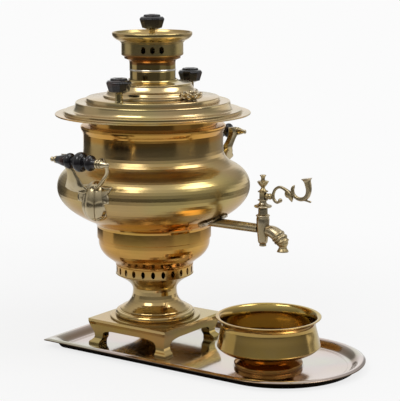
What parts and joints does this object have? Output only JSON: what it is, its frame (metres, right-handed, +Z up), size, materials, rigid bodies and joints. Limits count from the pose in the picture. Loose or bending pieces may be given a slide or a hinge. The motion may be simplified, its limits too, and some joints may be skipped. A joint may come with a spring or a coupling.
{
  "type": "samovar",
  "caption": "Charcoal samovar of brass, vase-shaped on a square footed base, with a scroll-levered tap, handles, pierced crown and damper, on an arched tray with a drip bowl.",
  "frame": {"origin": "on the table, at the underside of the tray, under the samovar's own axis", "axes": "+Z up, -Y the way the tap points and the tray reaches, +X to the right-hand handle when the tap faces the viewer; handles at -X and +X"},
  "size_m": [0.332, 0.4451, 0.448],
  "materials": {
    "body_brass": "polished, with an aged golden-brown tone",
    "tray_brass": "polished sheet with light tarnish",
    "bowl_brass": "polished spun sheet",
    "tap_bronze": "cast, satin, darkened in the recesses",
    "handle_brass": "cast, satin, darkened in the recesses",
    "black_wood": "turned and faceted, ebonised and polished",
    "grate_iron": "sooty casting",
    "flue_ring_tin": "tinned and polished"
  },
  "bodies": {
    "tray": {"tray": "tray_brass"},
    "samovar": {"base_plate": "body_brass", "foot_1": "body_brass", "foot_2": "body_brass", "foot_3": "body_brass", "foot_4": "body_brass", "pedestal_ring": "body_brass", "pedestal": "body_brass", "vent_band": "body_brass", "vessel_drum": "body_brass", "vessel_belly": "body_brass", "vessel_neck": "body_brass", "vessel_floor": "body_brass", "fire_tube": "body_brass", "flue_ring": "flue_ring_tin", "grate": "grate_iron", "collar": "body_brass", "collar_hub": "body_brass", "tap_plate": "tap_bronze", "tap_body": "tap_bronze", "tap_nut": "body_brass", "handle_shell_left": "handle_brass", "handle_shell_right": "handle_brass", "handle_bracket_left": "handle_brass", "handle_bracket_right": "handle_brass", "handle_rod_left": "handle_brass", "handle_rod_right": "handle_brass", "grip_left": "black_wood", "grip_right": "black_wood", "finial_left": "handle_brass", "finial_right": "handle_brass"},
    "bowl": {"bowl": "bowl_brass", "bowl_foot": "bowl_brass"},
    "lid": {"lid": "body_brass", "lid_flange": "body_brass", "lid_post_left": "body_brass", "lid_post_right": "body_brass", "lid_knob_left": "black_wood", "lid_knob_right": "black_wood", "lid_nut_left": "body_brass", "lid_nut_right": "body_brass", "vent_seat": "tap_bronze"},
    "vent_cap": {"vent_cap": "tap_bronze"},
    "crown": {"crown_sleeve": "body_brass", "crown_band": "body_brass", "crown_dish": "body_brass"},
    "damper": {"damper_plate": "body_brass", "damper_post": "body_brass", "damper_knob": "black_wood"},
    "key": {"tap_key": "tap_bronze", "key_lever": "tap_bronze", "key_nut": "tap_bronze"}
  },
  "joints": [
    {"name": "samovar_lift", "type": "slide", "parent": "tray", "child": "samovar", "axis": [0, 0, 1], "range_m": [0, 0.1]},
    {"name": "bowl_lift", "type": "slide", "parent": "tray", "child": "bowl", "axis": [0, 0, 1], "range_m": [0, 0.05]},
    {"name": "crown_lift", "type": "slide", "parent": "samovar", "child": "crown", "axis": [0, 0, 1], "range_m": [0, 0.1]},
    {"name": "damper_lift", "type": "slide", "parent": "crown", "child": "damper", "axis": [0, 0, 1], "range_m": [0, 0.06]},
    {"name": "lid_lift", "type": "slide", "parent": "samovar", "child": "lid", "axis": [0, 0, 1], "range_m": [0, 0.02]},
    {"name": "vent_cap_lift", "type": "slide", "parent": "lid", "child": "vent_cap", "axis": [0, 0, 1], "range_m": [0, 0.012]},
    {"name": "key_turn", "type": "hinge", "parent": "samovar", "child": "key", "pos_m": [0, -0.176, 0.178], "axis": [0, 0, 1], "range_deg": [-90, 90]}
  ]
}
